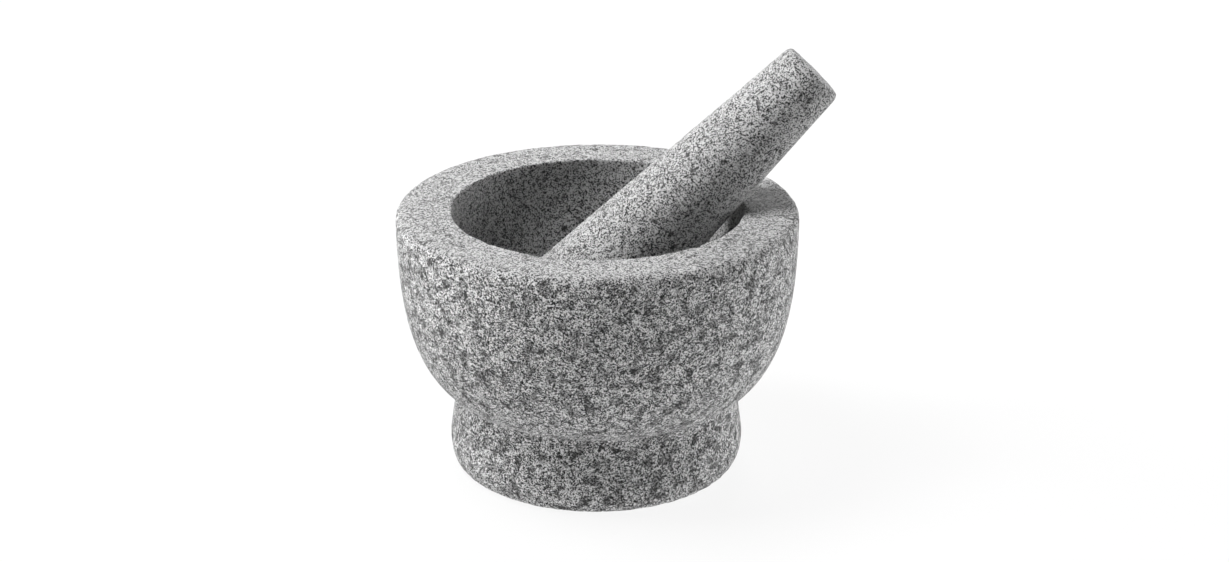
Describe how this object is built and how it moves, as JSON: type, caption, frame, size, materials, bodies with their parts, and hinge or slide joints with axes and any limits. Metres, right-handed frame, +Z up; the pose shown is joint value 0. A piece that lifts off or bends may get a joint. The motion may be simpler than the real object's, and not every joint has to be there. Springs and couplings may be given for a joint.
{
  "type": "mortar and pestle",
  "caption": "Thick-walled round stone mortar on a ring foot, with a loose tapered pestle leaning in its bowl, for crushing and grinding food.",
  "frame": {"origin": "centre of the mortar's flat underside", "axes": "+Z up along the mortar's turning axis; +X to the side that the pestle leans towards (its lean is turned 8 degrees from +X towards +Y); +Y to the back"},
  "size_m": [0.1741, 0.16, 0.1689],
  "materials": {
    "granite": "unpolished fine-ground grey granite with pale and dark grains"
  },
  "bodies": {
    "mortar": {"mortar": "granite"},
    "pestle": {"pestle": "granite"}
  },
  "joints": [
    {"name": "pestle_lift", "type": "slide", "parent": "mortar", "child": "pestle", "axis": [0, 0, 1], "range_m": [0, 0.12]}
  ]
}
